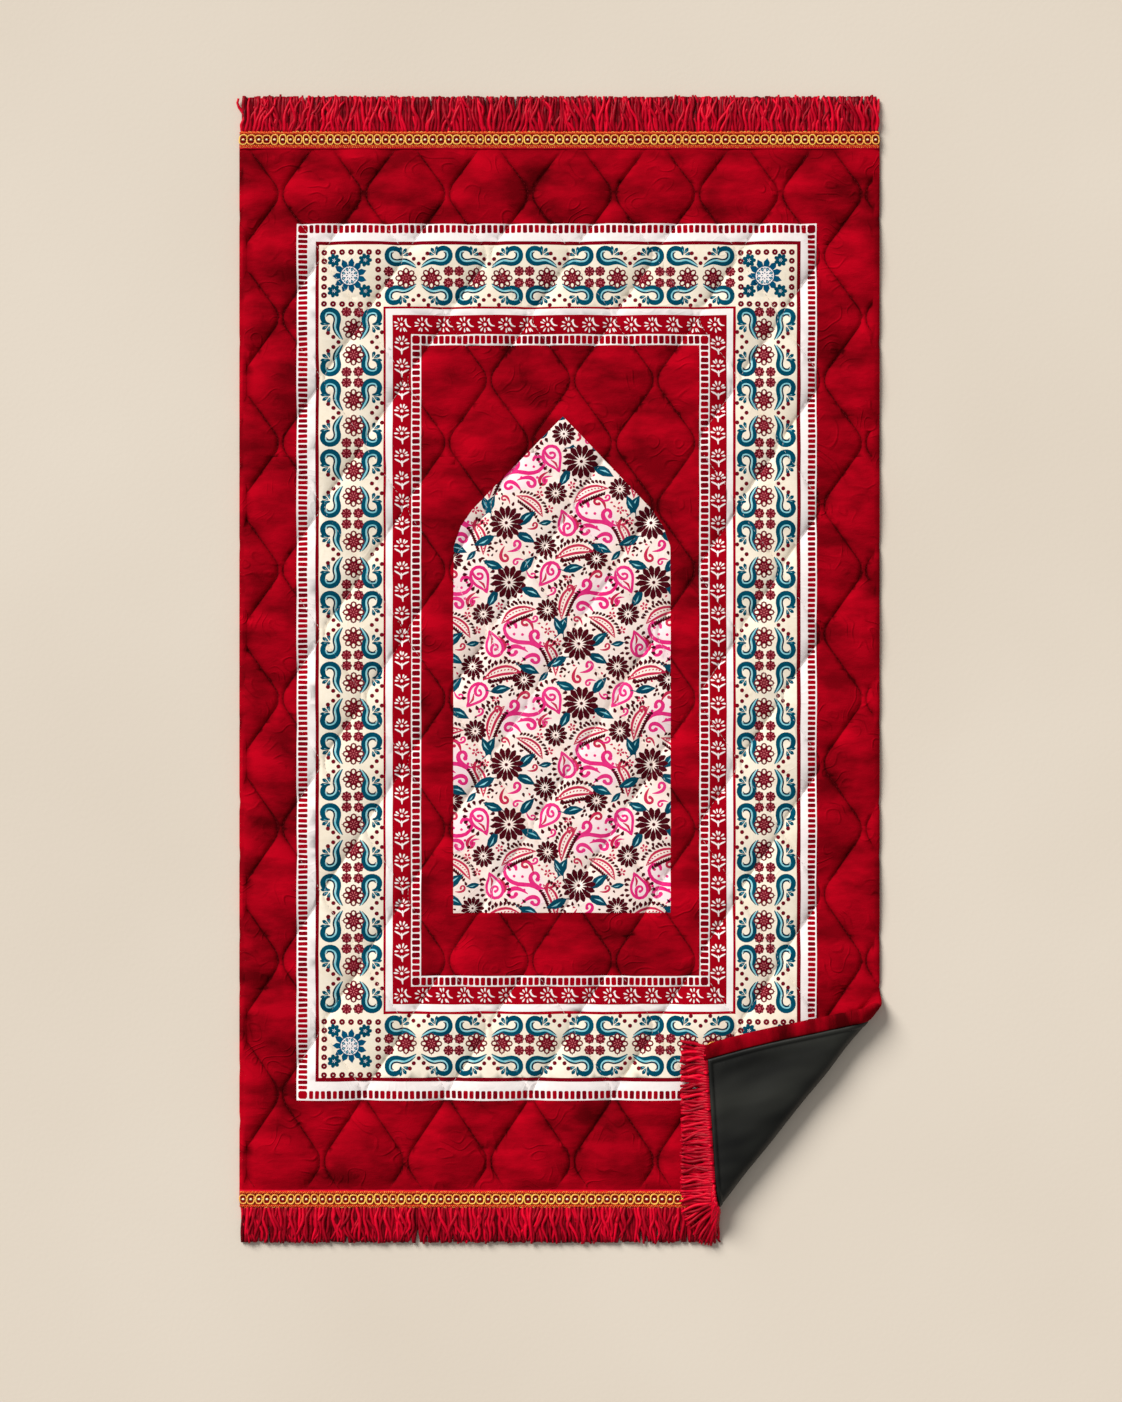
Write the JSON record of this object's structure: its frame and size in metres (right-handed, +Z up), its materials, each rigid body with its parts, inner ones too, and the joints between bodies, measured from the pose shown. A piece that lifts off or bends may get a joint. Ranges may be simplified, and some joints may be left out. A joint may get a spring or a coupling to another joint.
{
  "type": "prayer rug",
  "caption": "Quilted velvet prayer rug lying flat, with one corner folded over, a non-slip backing, braided ends and yarn fringes.",
  "frame": {"origin": "on the floor under the middle of the rug, fringes included", "axes": "+Y along the rug towards the point of its niche, +X to the right seen from above, +Z up"},
  "size_m": [0.6521, 1.167, 0.025],
  "materials": {
    "velvet": "soft red velvet pile",
    "black_backing": "matt black coated cloth with a soft sheen",
    "red_yarn": "lustrous twisted yarn",
    "gold_braid": "woven gold thread"
  },
  "bodies": {
    "root": {"quilt": "velvet", "backing": "black_backing", "fringe_top": "red_yarn", "fringe_bottom": "red_yarn", "braid_top": "gold_braid", "braid_bottom": "gold_braid"}
  },
  "joints": []
}
